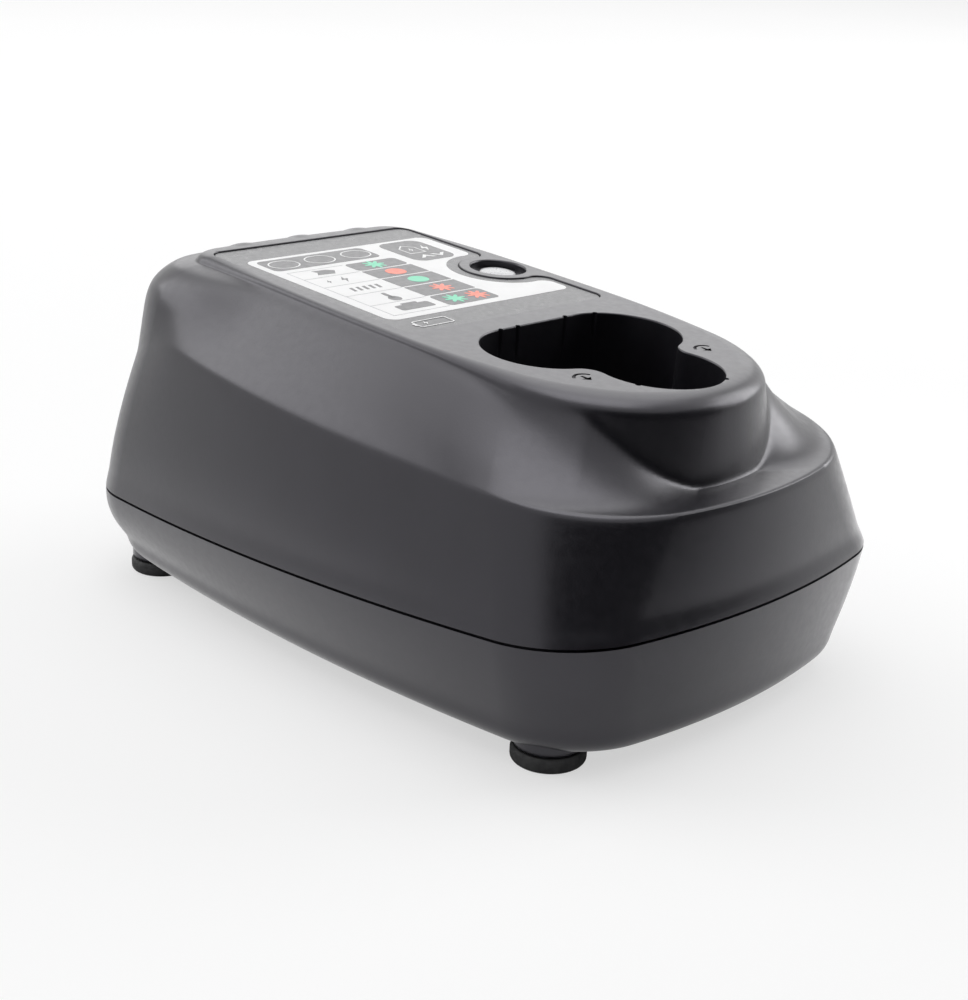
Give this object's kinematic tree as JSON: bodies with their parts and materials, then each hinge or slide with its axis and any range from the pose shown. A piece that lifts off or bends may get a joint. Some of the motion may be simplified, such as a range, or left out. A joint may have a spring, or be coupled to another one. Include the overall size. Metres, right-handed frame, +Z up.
{
  "type": "power tool battery charger",
  "caption": "Desktop charger with a tapered two-part case on rubber feet, a three-lobed battery socket in an inclined top face, a lamp window, a mains inlet and its inner electronics.",
  "frame": {"origin": "middle of the footprint, on the surface that the feet stand on", "axes": "+Z up, +X to the right seen from the front, and the battery socket is at the front, which faces -Y"},
  "size_m": [0.0976, 0.1449, 0.067],
  "materials": {
    "case": "charcoal ABS with a fine satin texture",
    "inner": "plain black moulding",
    "film": "satin printed polyester film",
    "clear": "clear and frosted polycarbonate",
    "rubber": "soft matt rubber",
    "steel": "zinc-plated steel",
    "brass": "bright contact brass",
    "board": "green solder mask",
    "ferrite": "ground ferrite",
    "tape": "yellow polyester tape and moulding",
    "can": "dark shrink sleeve",
    "copper": "enamelled copper wire",
    "chip": "moulded epoxy",
    "aluminium": "sheared sheet",
    "red": "red moulding or insulation",
    "green": "green moulding",
    "blue": "blue insulation",
    "brown": "brown insulation",
    "white": "white insulation",
    "black": "black insulation"
  },
  "bodies": {
    "root": {"base_tub": "case", "top_cover": "case", "socket_well": "inner", "label_film": "film", "indicator_lens": "clear", "light_guide": "clear", "led_red": "red", "led_green": "green", "foot_front_left": "rubber", "foot_front_right": "rubber", "foot_rear_left": "rubber", "foot_rear_right": "rubber", "case_screw_1": "steel", "case_screw_2": "steel", "case_screw_3": "steel", "case_screw_4": "steel", "rating_plate": "film", "inlet_body": "inner", "inlet_pin_left": "brass", "inlet_pin_right": "brass", "contact_carrier": "inner", "contact_plus": "brass", "contact_sense": "brass", "contact_minus": "brass", "circuit_board": "board", "board_screw_1": "steel", "board_screw_2": "steel", "board_screw_3": "steel", "board_screw_4": "steel", "transformer_core": "ferrite", "transformer_winding": "tape", "bulk_capacitor": "can", "output_capacitor_1": "can", "output_capacitor_2": "can", "filter_choke": "copper", "mains_fuse": "clear", "suppression_capacitor": "tape", "bridge_rectifier": "chip", "switching_transistor": "chip", "transistor_heat_sink": "aluminium", "output_diode": "chip", "diode_heat_sink": "aluminium", "optocoupler": "chip", "control_chip": "chip", "mains_lead_left": "blue", "mains_lead_right": "brown", "output_lead_plus": "red", "output_lead_sense": "white", "output_lead_minus": "black"}
  },
  "joints": []
}
